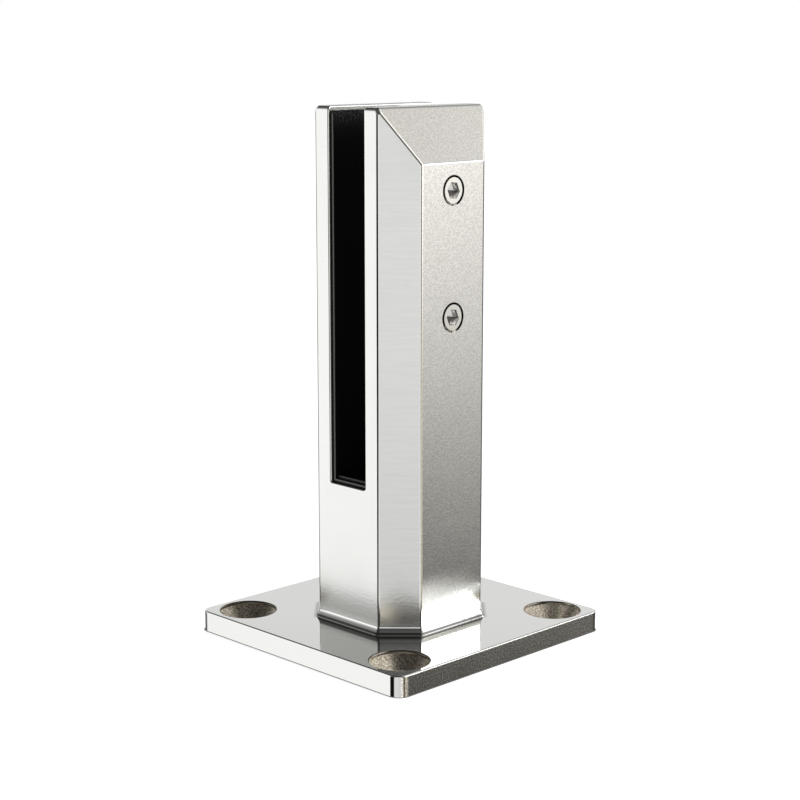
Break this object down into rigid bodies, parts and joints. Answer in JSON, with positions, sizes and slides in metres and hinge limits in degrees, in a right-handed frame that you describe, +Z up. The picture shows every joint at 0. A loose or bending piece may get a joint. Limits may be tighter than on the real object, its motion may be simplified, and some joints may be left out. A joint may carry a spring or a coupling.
{
  "type": "glass spigot",
  "caption": "Octagonal stainless steel post on a square base plate, with a rubber-lined slot and set screws that clamp the lower edge of a glass pane.",
  "frame": {"origin": "centre of the base plate's underside", "axes": "+Z up the post, Y along the glass slot, +X across the slot to the jaw with the set screws"},
  "size_m": [0.1, 0.1, 0.1837],
  "materials": {
    "body_steel": "satin brushed on the post, polished on the plate",
    "plate_steel": "plain rolled",
    "screw_steel": "plain turned",
    "liner_rubber": "matt",
    "pad_rubber": "matt"
  },
  "bodies": {
    "base": {"spigot_body": "body_steel", "slot_liner": "liner_rubber", "setting_block": "liner_rubber"},
    "clamp": {"pressure_plate": "plate_steel", "pressure_pad": "pad_rubber"},
    "upper_screw": {"upper_screw": "screw_steel"},
    "lower_screw": {"lower_screw": "screw_steel"}
  },
  "joints": [
    {"name": "clamp_slide", "type": "slide", "parent": "base", "child": "clamp", "axis": [-1, 0, 0], "range_m": [0, 0.003]},
    {"name": "upper_screw_turn", "type": "hinge", "parent": "clamp", "child": "upper_screw", "pos_m": [0.0167, 0, 0.1564], "axis": [-1, 0, 0], "range_deg": [0, 720]},
    {"name": "lower_screw_turn", "type": "hinge", "parent": "clamp", "child": "lower_screw", "pos_m": [0.0167, 0, 0.1142], "axis": [-1, 0, 0], "range_deg": [0, 720]}
  ],
  "couplings": [
    {"joint": "upper_screw_turn", "follows": "clamp_slide", "rad_per_m": 4188.8},
    {"joint": "lower_screw_turn", "follows": "clamp_slide", "rad_per_m": 4188.8}
  ]
}
